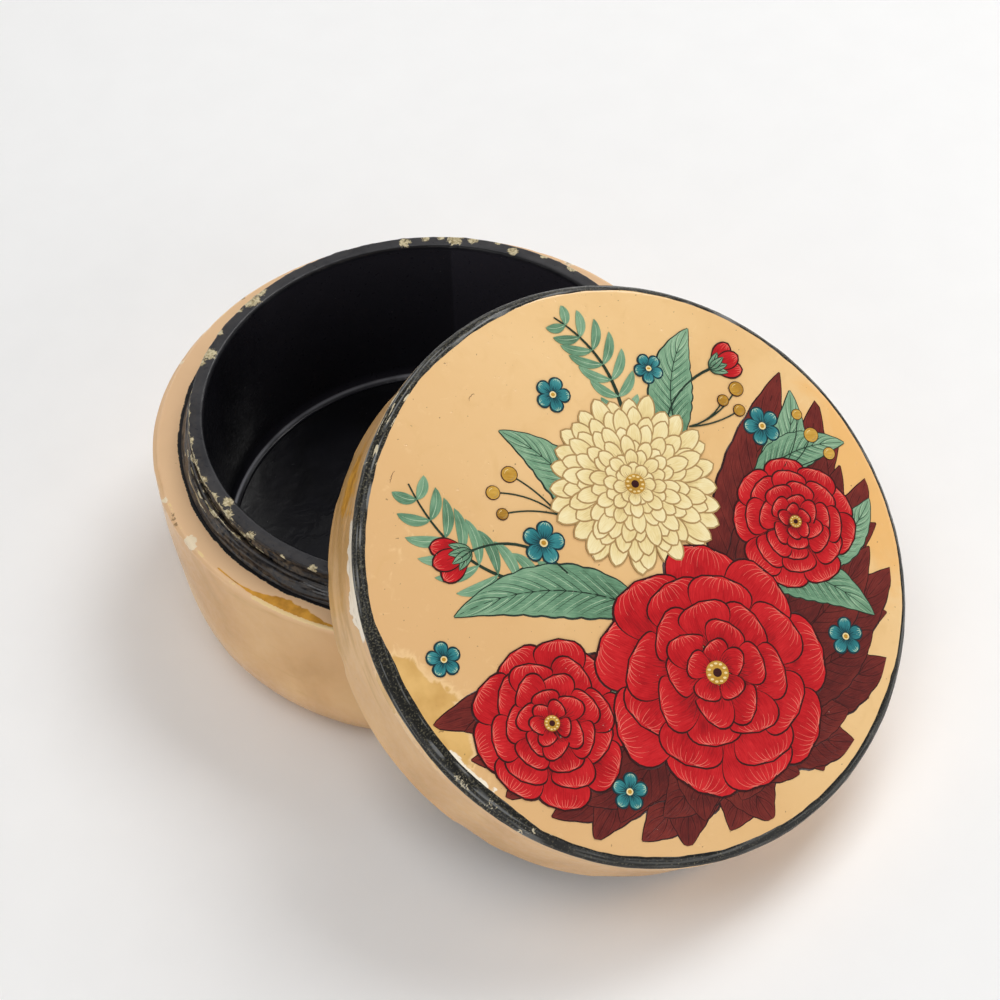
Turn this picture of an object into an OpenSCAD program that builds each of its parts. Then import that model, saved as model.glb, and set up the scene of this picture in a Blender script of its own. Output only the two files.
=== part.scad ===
// Round lacquered papier mache box, standing open: the loose lid leans on the base's neck with its
// lower edge on the table. +Z is up, the origin is the centre of the base's underside, and the lid
// leans towards -Y. Everything is in millimetres.

/* [Base] */
// Outer radius of the base's shell, and of the lid's wall that lies flush with it
base_r = 50; // [46:0.5:60]
// Height of the shoulder that the closed lid lands on
shoulder_h = 33.9; // [26:0.1:44]
// Thickness of the shell's wall, from the neck ring to the outside
shell_t = 6.65; // [5.5:0.05:9]
// Thickness of the shell's moulded bottom
bottom_t = 2.8; // [1.5:0.1:4]
// How far the rounded bottom edge draws in
bottom_edge_w = 6; // [2:0.5:10]
// How high the rounded bottom edge reaches
bottom_edge_h = 14; // [4:0.5:20]
// Rounding of the shoulder's outer edge
shoulder_edge_r = 0.8; // [0.3:0.1:1.5]
// Thickness of the card disc that lines the bottom
floor_t = 2.4; // [1:0.1:4]

/* [Neck] */
// Wall thickness of the neck ring
neck_t = 2.9; // [1.5:0.1:4]
// How far the neck stands above the shoulder
neck_h = 6.4; // [4:0.1:10]
// Rounding of the neck's top edges
neck_edge_r = 0.4; // [0.2:0.1:0.6]
// Radius of the filled corner between the neck ring and the floor
floor_fillet_r = 2.5; // [1:0.1:4]
// Width of the paper strip pasted round the neck's foot
strip_w = 1.9; // [1:0.1:2.4]
// Height of that strip
strip_h = 2.6; // [1.5:0.1:3.5]

/* [Lid] */
// Height of the lid, from its open edge to the edge of its face
lid_h = 18.4; // [16:0.1:26]
// Thickness of the lid's top disc at its edge
lid_top_t = 3.6; // [2.5:0.1:4.5]
// How far the top disc stands proud of the lid's wall
lid_top_proud = 0.4; // [0:0.1:1]
// Rounding of the top disc's upper edge
lid_top_edge_r = 1.9; // [1:0.1:2.3]
// How far the lid's face rises in the middle
lid_crown = 0.5; // [0.1:0.1:1.5]
// Rounding of the lid wall's lower outer edge
lid_edge_r = 0.8; // [0.3:0.1:1.5]

/* [Fits] */
// Radial gap between the lid's wall and the strip at the neck's foot when the box is closed
lid_fit = 0.4; // [0.2:0.1:0.8]
// Gap of the paste line between pieces that are glued one inside the other
paste_gap = 0.05; // [0.02:0.01:0.1]

/* [Leaning lid] */
// Angle round the neck, from the middle of the lean, at which the lid's edge rests on it
lean_contact = 58.2; // [50:0.2:66]
// Height of the lid's edge over the neck where it rests
lean_gap = 0.15; // [0.1:0.05:0.5]

/* [Hidden] */
$fn = 144;
ARC_STEPS = 10;
BEYOND = 1;

floor_z = bottom_t + floor_t;
neck_top_z = shoulder_h + neck_h;
shell_bore_r = base_r - shell_t;
neck_r = shell_bore_r - paste_gap;
neck_in_r = neck_r - neck_t;
strip_r = neck_r + strip_w;

lid_in_r = strip_r + lid_fit;
lid_wall_h = lid_h - lid_top_t;
lid_top_r = base_r + lid_top_proud;

// The lid's open edge crosses the neck's outer edge at two points, one on each side. The slope
// from their middle to the lid's centre and on to the table edge sets how far the lid tilts.
contact_x = neck_r * sin(lean_contact);
contact_y = neck_r * cos(lean_contact);
up_slope = sqrt(lid_in_r * lid_in_r - contact_x * contact_x);
slope = up_slope + base_r - lid_edge_r;
rise = neck_top_z + lean_gap - lid_edge_r;
lean = asin(rise / norm([slope, lid_edge_r])) + atan(lid_edge_r / slope);
lid_out = contact_y + up_slope * cos(lean);
lid_z = neck_top_z + lean_gap - up_slope * sin(lean);

// Points along an arc of an ellipse, from one angle to another
function arc(centre, size, from, to) =
    [for (i = [0 : ARC_STEPS])
        let (a = from + (to - from) * i / ARC_STEPS)
        centre + [size[0] * cos(a), size[1] * sin(a)]];

// Puts a part of the lid, drawn with its open edge on z = 0, where the lid leans
module leaning()
    translate([0, -lid_out, lid_z])
    rotate([lean, 0, 0])
    children();

// The moulded outer shell: the tan wall with its rounded foot, its bottom and its shoulder
module base_shell()
    color("burlywood")
    rotate_extrude()
    polygon(concat(
        [[0, 0]],
        arc([base_r - bottom_edge_w, bottom_edge_h], [bottom_edge_w, bottom_edge_h], -90, 0),
        arc([base_r - shoulder_edge_r, shoulder_h - shoulder_edge_r],
            [shoulder_edge_r, shoulder_edge_r], 0, 90),
        [[shell_bore_r, shoulder_h], [shell_bore_r, bottom_t], [0, bottom_t]]));

// The card disc on the shell's bottom, which the neck ring stands on
module floor_disc()
    color("#1b1a1e")
    translate([0, 0, bottom_t])
    cylinder(r = neck_r, h = floor_t);

// The inner ring: it lines the shell from the floor up and stands proud as the neck
module neck_ring()
    color("#26252a")
    rotate_extrude()
    polygon(concat(
        [[neck_r, floor_z]],
        arc([neck_r - neck_edge_r, neck_top_z - neck_edge_r], [neck_edge_r, neck_edge_r], 0, 90),
        arc([neck_in_r + neck_edge_r, neck_top_z - neck_edge_r], [neck_edge_r, neck_edge_r], 90, 180),
        arc([neck_in_r - floor_fillet_r, floor_z + floor_fillet_r],
            [floor_fillet_r, floor_fillet_r], 0, -75),
        [[neck_in_r - floor_fillet_r * (1 - cos(75)), floor_z]]));

// The paper strip pasted into the corner between the neck and the shoulder
module neck_strip()
    color("#141317")
    rotate_extrude()
    polygon(concat(
        [[shell_bore_r, shoulder_h]],
        arc([shell_bore_r, shoulder_h], [strip_r - shell_bore_r, strip_h], 0, 90)));

// The lid's wall, a plain ring that slips over the neck and lands on the shoulder
module lid_wall()
    color("burlywood")
    leaning()
    difference() {
        rotate_extrude()
        polygon(concat(
            [[0, 0]],
            arc([base_r - lid_edge_r, lid_edge_r], [lid_edge_r, lid_edge_r], -90, 0),
            [[base_r, lid_wall_h], [0, lid_wall_h]]));
        translate([0, 0, -BEYOND])
        cylinder(r = lid_in_r, h = lid_wall_h + 2 * BEYOND);
    }

// The lid's top disc with its rounded edge and slightly crowned face
module lid_top()
    color("#ecc389")
    leaning()
    rotate_extrude()
    polygon(concat(
        [[0, lid_wall_h], [lid_top_r, lid_wall_h]],
        arc([lid_top_r - lid_top_edge_r, lid_h - lid_top_edge_r],
            [lid_top_edge_r, lid_top_edge_r], 0, 90),
        [for (i = [1 : ARC_STEPS])
            let (share = 1 - i / ARC_STEPS)
            [(lid_top_r - lid_top_edge_r) * share, lid_h + lid_crown * (1 - share * share)]]));

base_shell();
floor_disc();
neck_ring();
neck_strip();
lid_wall();
lid_top();
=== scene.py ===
"""A round lacquered papier mache box, standing open with its painted lid leaning on the neck.

Named sizes are in millimetres and meshes in metres. The base's pieces are built in the part's own
frame. The lid's pieces are built with the lid's open edge on z = 0 and then placed where it leans.
"""

import math

import bmesh
import bpy
import numpy as np
from mathutils import Matrix, Vector


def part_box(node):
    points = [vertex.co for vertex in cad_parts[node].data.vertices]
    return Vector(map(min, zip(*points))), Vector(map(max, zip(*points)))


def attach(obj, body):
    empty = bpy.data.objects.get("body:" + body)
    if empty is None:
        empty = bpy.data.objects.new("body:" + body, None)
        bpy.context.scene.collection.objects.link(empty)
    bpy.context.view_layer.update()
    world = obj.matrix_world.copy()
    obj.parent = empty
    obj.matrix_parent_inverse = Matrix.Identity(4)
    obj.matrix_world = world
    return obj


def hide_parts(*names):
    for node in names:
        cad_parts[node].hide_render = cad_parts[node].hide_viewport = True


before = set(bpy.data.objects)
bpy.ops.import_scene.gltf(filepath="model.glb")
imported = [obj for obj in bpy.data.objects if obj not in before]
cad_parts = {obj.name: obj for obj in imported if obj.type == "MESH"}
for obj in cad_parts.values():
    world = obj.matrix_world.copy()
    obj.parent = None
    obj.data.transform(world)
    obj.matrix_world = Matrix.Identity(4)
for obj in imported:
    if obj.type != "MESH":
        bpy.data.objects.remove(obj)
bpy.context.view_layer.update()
MM = 0.001


# ---------------------------------------------------------------- sizes, from the frame

def low(node, axis):
    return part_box(node)[0][axis] / MM


def high(node, axis):
    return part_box(node)[1][axis] / MM


BASE_R = high("base_shell", 0)
SHOULDER_Z = high("base_shell", 2)
BOTTOM_Z = low("floor_disc", 2)
FLOOR_Z = high("floor_disc", 2)
NECK_R = high("neck_ring", 0)
NECK_TOP_Z = high("neck_ring", 2)
STRIP_R = high("neck_strip", 0)
STRIP_TOP_Z = high("neck_strip", 2)
LID_TOP_R = high("lid_top", 0)

PASTE_GAP = 0.05
NECK_T = 2.9
NECK_IN_R = NECK_R - NECK_T
FLOOR_FILLET_R = 2.5
BOTTOM_EDGE = (6, 14)
SHOULDER_EDGE_R = 0.8
LID_H = 18.4
LID_TOP_T = 3.6
LID_TOP_EDGE_R = 1.9
LID_CROWN = 0.5
LID_EDGE_R = 0.8
LID_WALL_H = LID_H - LID_TOP_T
LID_IN_R = STRIP_R + 0.4

# The lid's lean: its open edge rests on the neck at two points and on the table at one
LEAN_CONTACT = math.radians(58.2)
LEAN_GAP = 0.15
UP_SLOPE = math.sqrt(LID_IN_R**2 - (NECK_R * math.sin(LEAN_CONTACT)) ** 2)
SLOPE = UP_SLOPE + BASE_R - LID_EDGE_R
RISE = NECK_TOP_Z + LEAN_GAP - LID_EDGE_R
LEAN = math.asin(RISE / math.hypot(SLOPE, LID_EDGE_R)) + math.atan(LID_EDGE_R / SLOPE)
LID_OUT = NECK_R * math.cos(LEAN_CONTACT) + UP_SLOPE * math.cos(LEAN)
LID_Z = NECK_TOP_Z + LEAN_GAP - UP_SLOPE * math.sin(LEAN)
LID_PLACE = Matrix.Translation(Vector((0, -LID_OUT, LID_Z)) * MM) @ Matrix.Rotation(LEAN, 4, "X")


# ---------------------------------------------------------------- camera, light and floor

CAMERA_AZIMUTH = math.radians(-40.79)
CAMERA_ELEVATION = math.radians(49.455)
CAMERA_ROLL = -0.0395
CAMERA_DISTANCE = 429.5
CAMERA_TARGET = Vector((15.74, -0.96, 0))
CAMERA_LENS = 78.2

FLOOR_COLOUR = (0.94, 0.94, 0.94)
FLOOR_SHADE = (0.925, 0.925, 0.925)
ROOM_LEVELS = [(0, 1.05), (0.35, 0.92), (0.6, 0.12), (1, 0.1)]  # rise of the direction, brightness
LAMPS = [  # name, place, aim and size in metres, power in watts, colour
    ("window", (0.52, 0.07, 0.78), (0, -0.03, 0.02), (0.48, 0.48), 4.2, (1, 0.99, 0.975)),
    ("overhead", (-0.28, 0, 1.05), (0, -0.02, 0), (0.6, 0.6), 3.1, (1, 1, 1)),
    ("side_fill", (-0.8, -0.5, 0.28), (0, -0.03, 0.02), (0.5, 0.4), 0.85, (1, 1, 1)),
    ("front_fill", (0.15, -1.1, 0.5), (0, -0.05, 0.02), (0.6, 0.4), 2.1, (1, 1, 1)),
]


def make_camera():
    az, el = CAMERA_AZIMUTH, CAMERA_ELEVATION
    back = Vector((math.sin(az) * math.cos(el), -math.cos(az) * math.cos(el), math.sin(el)))
    right = Vector((math.cos(az), math.sin(az), 0))
    up = back.cross(right)
    turn = Matrix.Rotation(CAMERA_ROLL, 3, back)
    axes = Matrix((turn @ right, turn @ up, back)).transposed()
    camera = bpy.data.objects.new("camera", bpy.data.cameras.new("camera"))
    camera.data.lens = CAMERA_LENS
    camera.data.clip_start = 0.01
    camera.matrix_world = Matrix.Translation((CAMERA_TARGET + CAMERA_DISTANCE * back) * MM) @ axes.to_4x4()
    bpy.context.collection.objects.link(camera)
    bpy.context.scene.camera = camera


def make_lamp(name, place, aim, size, power, colour):
    lamp = bpy.data.objects.new(name, bpy.data.lights.new(name, "AREA"))
    lamp.data.shape = "RECTANGLE"
    lamp.data.size, lamp.data.size_y = size
    lamp.data.energy = power
    lamp.data.color = colour
    lamp.location = place
    lamp.rotation_euler = (Vector(aim) - Vector(place)).to_track_quat("-Z", "Y").to_euler()
    bpy.context.collection.objects.link(lamp)


def fill_ramp(ramp, stops):
    """Gives a colour ramp its stops, each a position from 0 to 1 and a colour."""
    points = ramp.color_ramp.elements
    while len(points) < len(stops):
        points.new(0.5)
    for point, (at, colour) in zip(points, stops):
        point.position = at
        point.color = (*colour, 1)


def make_surround():
    """A room with pale walls and a dim ceiling, so that gloss shows a pale horizon and deep tops."""
    world = bpy.data.worlds.new("surround")
    world.use_nodes = True
    nodes, links = world.node_tree.nodes, world.node_tree.links
    coords = nodes.new("ShaderNodeTexCoord")
    split = nodes.new("ShaderNodeSeparateXYZ")
    ramp = nodes.new("ShaderNodeValToRGB")
    links.new(coords.outputs["Generated"], split.inputs[0])
    links.new(split.outputs["Z"], ramp.inputs["Fac"])
    links.new(ramp.outputs["Color"], nodes["Background"].inputs["Color"])
    fill_ramp(ramp, [(height, (level,) * 3) for height, level in ROOM_LEVELS])
    bpy.context.scene.world = world


def make_studio():
    """A pale floor and soft lamps that stand clear of where the face and the well's floor mirror."""
    bpy.ops.mesh.primitive_plane_add(size=6)
    floor = bpy.context.object
    floor.name = "floor"
    look = Finish("floor_finish", rough=0.6)
    look.colour = look.ramp(look.noise(12), (0.3, FLOOR_SHADE), (0.7, FLOOR_COLOUR))
    floor.data.materials.append(look.finished())
    make_surround()
    for lamp in LAMPS:
        make_lamp(*lamp)
    bpy.context.scene.view_settings.view_transform = "Standard"


# ---------------------------------------------------------------- finishes

class Finish:
    """A material's node tree, with a short call for each kind of node that it needs.

    Its places are in mm, in the part's frame or, on the lid, in the lid's own frame. Its colour is
    what is painted so far, and each lay paints over that.
    """

    def __init__(self, name, coat=0.0, coat_rough=0.07, rough=0.4, specular=0.5, on_lid=False):
        self.mat = bpy.data.materials.new(name)
        self.mat.use_nodes = True
        self.tree = self.mat.node_tree
        self.shader = self.tree.nodes["Principled BSDF"]
        self.colour = None
        self.set("Coat Weight", coat)
        self.set("Coat Roughness", coat_rough)
        self.set("Roughness", rough)
        self.set("Specular IOR Level", specular)
        coords = self.tree.nodes.new("ShaderNodeTexCoord")
        self.uv = coords.outputs["UV"]
        still = {"Vector": coords.outputs["Object"], "Scale": (MM, MM, MM)}
        if on_lid:
            still |= {"Location": LID_PLACE.to_translation(), "Rotation": (LEAN, 0, 0)}
        self.place = self.made("Mapping", still, "Vector", vector_type="TEXTURE")

    def join(self, value, socket):
        if isinstance(value, bpy.types.NodeSocket):
            self.tree.links.new(value, socket)
        elif hasattr(socket.default_value, "__len__") and len(socket.default_value) == 4:
            socket.default_value = (*value[:3], 1)
        else:
            socket.default_value = value

    def set(self, name, value):
        self.join(value, self.shader.inputs[name])

    def made(self, kind, inputs, output, **settings):
        """The output of a new node; its inputs are numbers, colours or other nodes' outputs."""
        node = self.tree.nodes.new("ShaderNode" + kind)
        for name, value in settings.items():
            setattr(node, name, value)
        for name, value in inputs.items():
            self.join(value, node.inputs[name])
        return node.outputs[output]

    def maths(self, operation, a, b):
        return self.made("Math", {0: a, 1: b}, 0, operation=operation)

    def plus(self, a, b):
        return self.maths("ADD", a, b)

    def times(self, a, b):
        return self.maths("MULTIPLY", a, b)

    def span(self, value, low_end, high_end, to_low=0.0, to_high=1.0):
        """A smooth step of value from low_end to high_end."""
        ends = {"From Min": low_end, "From Max": high_end, "To Min": to_low, "To Max": to_high}
        return self.made("MapRange", {"Value": value} | ends, "Result", interpolation_type="SMOOTHSTEP")

    def noise(self, scale, detail=3, stretch=(1, 1, 1), warp=0.0, where=None):
        """Noise from 0 to 1 whose lumps are about `scale` mm long, or longer by the stretch."""
        steps = tuple(1 / (scale * s) for s in stretch)
        at = self.made("VectorMath", {0: where or self.place, 1: steps}, "Vector", operation="MULTIPLY")
        return self.made("TexNoise", {"Vector": at, "Scale": 1, "Detail": detail, "Distortion": warp}, "Fac")

    def ramp(self, value, *stops):
        """A colour that runs through stops, each a value from 0 to 1 and a colour."""
        node = self.tree.nodes.new("ShaderNodeValToRGB")
        self.join(value, node.inputs["Fac"])
        fill_ramp(node, stops)
        return node.outputs["Color"]

    def lay(self, share, colour):
        """Paints a colour over what is painted so far, by a share of 0 to 1."""
        under = self.colour
        self.colour = self.made("Mix", {"Factor": share, 6: under, 7: colour}, 2, data_type="RGBA")

    def field(self, name):
        """A number that the mesh carries at each point."""
        return self.made("Attribute", {}, "Fac", attribute_name=name)

    def broken(self, field, scale=0.9, start=0.62, end=0.69):
        """1 where the field's cover of 0 to 1 holds, with a ragged edge."""
        ragged = self.times(self.noise(scale, detail=6, warp=1.1), 0.6)
        return self.span(self.plus(self.times(self.field(field), 0.75), ragged), start, end)

    def specks(self, size, start, end, most, detail=2):
        """Sparse specks, where a fine noise peaks."""
        return self.span(self.noise(size, detail), start, end, 0, most)

    def bump(self, height, depth):
        """Relief from a height of 0 to 1 that stands for `depth` mm."""
        relief = self.made("Bump", {"Height": height, "Distance": depth * MM}, "Normal")
        self.set("Normal", relief)
        self.set("Coat Normal", relief)

    def finished(self):
        self.set("Base Color", self.colour)
        return self.mat


TAN_LIGHT = (0.76, 0.485, 0.225)
TAN = (0.53, 0.295, 0.105)
TAN_PINK = (0.66, 0.385, 0.165)
RUN_BROWN = (0.52, 0.29, 0.085)
LEDGE_LIT_TAN = (0.86, 0.58, 0.35)
AMBER = (0.76, 0.37, 0.04)
AMBER_DEEP = (0.50, 0.22, 0.018)
BARE_PAPER = (0.88, 0.73, 0.52)
BARE_GESSO = (0.91, 0.81, 0.65)
CREST_YELLOW = (0.86, 0.63, 0.31)
STAIN = (0.25, 0.14, 0.055)
BLACK = (0.006, 0.006, 0.008)
BLACK_WORN = (0.011, 0.011, 0.014)
RIM_SHEEN_GREY = (0.040, 0.040, 0.044)
RIM_SHEEN_GREY_WORN = (0.058, 0.057, 0.060)
PAINTED_SHEEN_GREY = (0.033, 0.031, 0.041)
NECK_BROWN = (0.13, 0.092, 0.056)
TORN_DIRTY = (0.28, 0.22, 0.11)
TORN_CREAM = (0.62, 0.54, 0.35)
# pale grey of the well's corner line: painted highlight, with some dust
CORNER_DUST_AND_HIGHLIGHT = (0.42, 0.42, 0.46)
NECK_DUST = (0.25, 0.25, 0.24)
WELL_BLACK = (0.003, 0.003, 0.004)
WELL_WORN = (0.007, 0.007, 0.010)
WELL_DUST = (0.16, 0.16, 0.16)
WELL_BRUSHED = (0.03, 0.03, 0.035)
GROUND_DEEP = (0.77, 0.465, 0.19)
GROUND = (0.82, 0.53, 0.235)
GROUND_PALE = (0.87, 0.585, 0.28)
GROUND_SHADED = (0.735, 0.445, 0.20)
GROUND_WARM = (0.85, 0.485, 0.17)
GROUND_HAZE = (0.70, 0.42, 0.16)
HALO = (0.90, 0.63, 0.32)
GOLDEN_DEEP = (0.56, 0.30, 0.065)
GOLDEN = (0.74, 0.45, 0.14)
SEAM_DIRT = (0.10, 0.06, 0.03)
PAINT_DUST = (0.72, 0.62, 0.52)
BAND_BLACK = (0.012, 0.0118, 0.0105)
BAND_HAIR = (0.056, 0.054, 0.045)
BAND_SCUFF_AND_HIGHLIGHT = (0.21, 0.215, 0.22)
BAND_FLECK = (0.24, 0.215, 0.14)
BAND_BARE = (0.60, 0.52, 0.36)


def tan_lacquer(name, bare=BARE_PAPER, on_lid=False):
    """Warm tan paint under yellowed clear lacquer, for the shell and the lid's wall."""
    look = Finish(name, coat=0.35, coat_rough=0.10, specular=0.3, on_lid=on_lid)
    patches = look.noise(24, detail=4, warp=0.6)
    look.colour = look.ramp(patches, (0.32, TAN), (0.5, TAN_PINK), (0.7, TAN_LIGHT))
    streaks = look.noise(3.2, detail=4, stretch=(5, 5, 0.8), warp=0.3)
    runs = look.plus(streaks, look.times(look.field("streaky"), 0.24))
    look.lay(look.span(runs, 0.60, 0.84, 0, 0.78), RUN_BROWN)
    # painted light: the flat shoulder painted paler, as if lit from above
    look.lay(look.times(look.field("ledge"), 0.75), LEDGE_LIT_TAN)
    pools = look.ramp(look.noise(2.2, detail=4), (0.35, AMBER_DEEP), (0.65, AMBER))
    look.lay(look.broken("amber", 2.6, 0.55, 0.72), pools)
    look.lay(look.times(look.broken("stain", 0.55), 0.8), STAIN)
    look.lay(look.broken("crest", 0.7), CREST_YELLOW)
    layers = look.noise(0.8, detail=5, stretch=(3, 3, 0.5))
    look.lay(look.broken("wear"), look.ramp(layers, (0.3, STAIN), (0.42, bare), (1, bare)))
    look.lay(look.broken("paint", 0.6, 0.6, 0.66), BLACK)
    look.lay(look.specks(0.7, 0.76, 0.80, 0.5), STAIN)
    fine = look.noise(1.1, detail=6)
    look.set("Roughness", look.span(fine, 0.2, 0.8, 0.34, 0.52))
    swell = look.plus(look.noise(8), look.times(fine, 0.10))
    look.bump(look.plus(swell, look.times(streaks, look.field("streaky"))), 0.18)
    return look.finished()


def black_lacquer(name, coat):
    """Near-black lacquer brushed over the neck's pasted paper and the strip at its foot."""
    look = Finish(name, coat_rough=0.08)
    gloss = look.maths("SUBTRACT", 1, look.times(look.field("matt"), 0.85))
    look.set("Coat Weight", look.times(gloss, coat))
    look.set("Specular IOR Level", look.times(gloss, 0.18))
    fine = look.noise(0.8, detail=6)
    dull = look.noise(9, detail=4, warp=0.8)
    look.colour = look.ramp(dull, (0.35, BLACK), (0.7, BLACK_WORN))
    # painted sheen: the flat rim painted charcoal grey in place of its satin reflection
    look.lay(look.field("rim"), look.ramp(dull, (0.35, RIM_SHEEN_GREY), (0.7, RIM_SHEEN_GREY_WORN)))
    # painted light: the well's wall painted a lighter grey on one side, with a little dust
    look.lay(look.field("sheen"), PAINTED_SHEEN_GREY)
    look.lay(look.times(look.field("brown"), look.span(fine, 0.35, 0.62)), NECK_BROWN)
    torn = look.ramp(look.noise(0.5, detail=4), (0.35, TORN_DIRTY), (0.6, TORN_CREAM))
    look.lay(look.broken("wear", 0.5, 0.64, 0.70), torn)
    # painted highlight: a pale grey line along the well's corner, with some dust
    look.lay(look.field("corner"), CORNER_DUST_AND_HIGHLIGHT)
    look.lay(look.specks(0.6, 0.755, 0.80, 0.4), NECK_DUST)
    look.set("Roughness", look.span(fine, 0.2, 0.85, 0.24, 0.5))
    look.bump(look.plus(look.noise(3, detail=4), look.times(fine, 0.35)), 0.12)
    return look.finished()


def well_lacquer(name, on_lid=False):
    """The well's glossier black, with dust and faint brush marks."""
    look = Finish(name, coat=0.45, coat_rough=0.05, rough=0.22, on_lid=on_lid)
    dull = look.noise(14, detail=5, warp=1.0)
    look.colour = look.ramp(dull, (0.35, WELL_BLACK), (0.75, WELL_WORN))
    look.lay(look.specks(0.8, 0.745, 0.79, 0.35), WELL_DUST)
    look.lay(look.span(look.noise(4, detail=5, warp=1.5), 0.66, 0.78, 0, 0.5), WELL_BRUSHED)
    look.bump(look.plus(look.noise(6, warp=0.8), look.times(look.noise(1.8), 0.12)), 0.18)
    return look.finished()


def face_ground():
    """The lid's cream and tan ground under a thick clear lacquer, with stains and dark specks."""
    look = Finish("face_ground", coat=0.6, coat_rough=0.06, specular=0.3, on_lid=True)
    patches = look.noise(30, detail=5, warp=0.5)
    look.colour = look.ramp(patches, (0.3, GROUND_DEEP), (0.5, GROUND), (0.72, GROUND_PALE))
    # painted shade: the ground darker towards one side
    look.lay(look.field("aged"), GROUND_SHADED)
    look.lay(look.broken("warm", 7, 0.40, 0.68), GROUND_WARM)
    look.lay(look.span(look.noise(4.5, detail=6, warp=0.8), 0.52, 0.8, 0, 0.3), GROUND_HAZE)
    look.lay(look.times(look.broken("stain", 2.4, 0.36, 0.52), 0.6), HALO)
    golden = look.ramp(look.noise(5, detail=5), (0.35, GOLDEN_DEEP), (0.65, GOLDEN))
    look.lay(look.times(look.broken("stain", 2.4, 0.52, 0.62), 0.85), golden)
    look.lay(look.broken("wear", 1.3, 0.60, 0.74), BARE_GESSO)
    look.lay(look.broken("seam", 0.8), SEAM_DIRT)
    look.lay(look.specks(0.62, 0.765, 0.79, 0.7, detail=1), STAIN)
    fine = look.noise(1.3, detail=6)
    look.set("Roughness", look.span(fine, 0.2, 0.8, 0.34, 0.48))
    pits = look.times(look.specks(0.9, 0.70, 0.78, 1), 0.15)
    swell = look.maths("SUBTRACT", look.noise(10), pits)
    look.bump(look.plus(swell, look.times(fine, 0.05)), 0.2)
    return look.finished()


def pigment(name, dark, mid, pale):
    """Opaque paint laid on with a soft brush: its tone runs in streaks along each stroke."""
    look = Finish(name, coat=0.6, coat_rough=0.06, rough=0.42, specular=0.15, on_lid=True)
    hairs = look.noise(1, detail=4, stretch=(0.16, 2.2, 1), where=look.uv)
    pools = look.noise(3.2, detail=4, warp=0.5)
    tone = look.plus(look.times(hairs, 0.55), look.times(pools, 0.45))
    look.colour = look.ramp(look.plus(tone, look.field("tone")), (0.25, dark), (0.5, mid), (0.78, pale))
    look.lay(look.specks(0.55, 0.765, 0.80, 0.45), PAINT_DUST)
    look.bump(look.plus(hairs, look.times(look.noise(10), 6)), 0.03)
    return look.finished()


def band_paint():
    """The rim band's black paint, brushed along the rim, with gold and grey flecks and pale scuffs that are
    partly painted highlight streaks.
    """
    look = Finish("band_paint", coat=0.32, coat_rough=0.04, rough=0.38, specular=0.1, on_lid=True)
    hairs, rubbed = look.field("hairs"), look.field("rubbed")
    fine = look.noise(0.34, detail=5, warp=0.4)
    look.colour = BAND_BLACK
    look.lay(look.span(hairs, 0.45, 0.9, 0, 0.5), BAND_HAIR)
    # painted highlight: pale streaks along the brush hairs where the band is rubbed, partly real scuffs
    look.lay(look.times(look.span(hairs, 0.58, 0.82), rubbed), BAND_SCUFF_AND_HIGHLIGHT)
    look.lay(look.span(look.plus(fine, look.times(rubbed, 0.11)), 0.56, 0.80, 0, 0.5), BAND_FLECK)
    look.lay(look.broken("wear", 0.6), BAND_BARE)
    look.bump(look.plus(look.noise(1.6, detail=4), look.times(fine, 0.45)), 0.12)
    return look.finished()


# ---------------------------------------------------------------- noise and cover on a skin

def unit(value):
    """The value held between 0 and 1."""
    return np.clip(value, 0, 1)


def belt(level, middle, half, core=1.0):
    """1 at a middle level, fading on both sides; a core over 1 widens the full part."""
    return unit(core - np.abs(level - middle) / half)


def lumps(points, size, seed):
    """Smooth noise from -1 to 1 at an array of points, with lumps about `size` mm long."""
    q = np.asarray(points, float) / size + 19.7 * seed
    cell = np.floor(q).astype(np.int64)
    f = q - cell
    f = f * f * (3 - 2 * f)
    total = 0.0
    for corner in np.ndindex(2, 2, 2):
        c = cell + corner
        mixed = (c[:, 0] * 73856093) ^ (c[:, 1] * 19349663) ^ (c[:, 2] * 83492791) ^ (seed * 2654435)
        mixed = ((mixed ^ (mixed >> 13)) * 1274126177) & 0xFFFFFF
        weight = np.prod(np.where(corner, f, 1 - f), axis=1)
        total = total + weight * (mixed / 0x7FFFFF - 1)
    return total


def around_rim(angle, radius):
    """Points on a level circle."""
    return np.c_[radius * np.cos(angle), radius * np.sin(angle), np.zeros(len(angle))]


def ragged_layers(angle, level, reach, size, seed):
    """Long wavy ridges that run round the box, as edges of pasted paper do; level is in mm."""
    ring = around_rim(angle, 50 / reach)
    ring[:, 2] = level / size + 0.8 * lumps(ring, 1.3, seed + 1)
    return lumps(ring, 1, seed)


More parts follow.
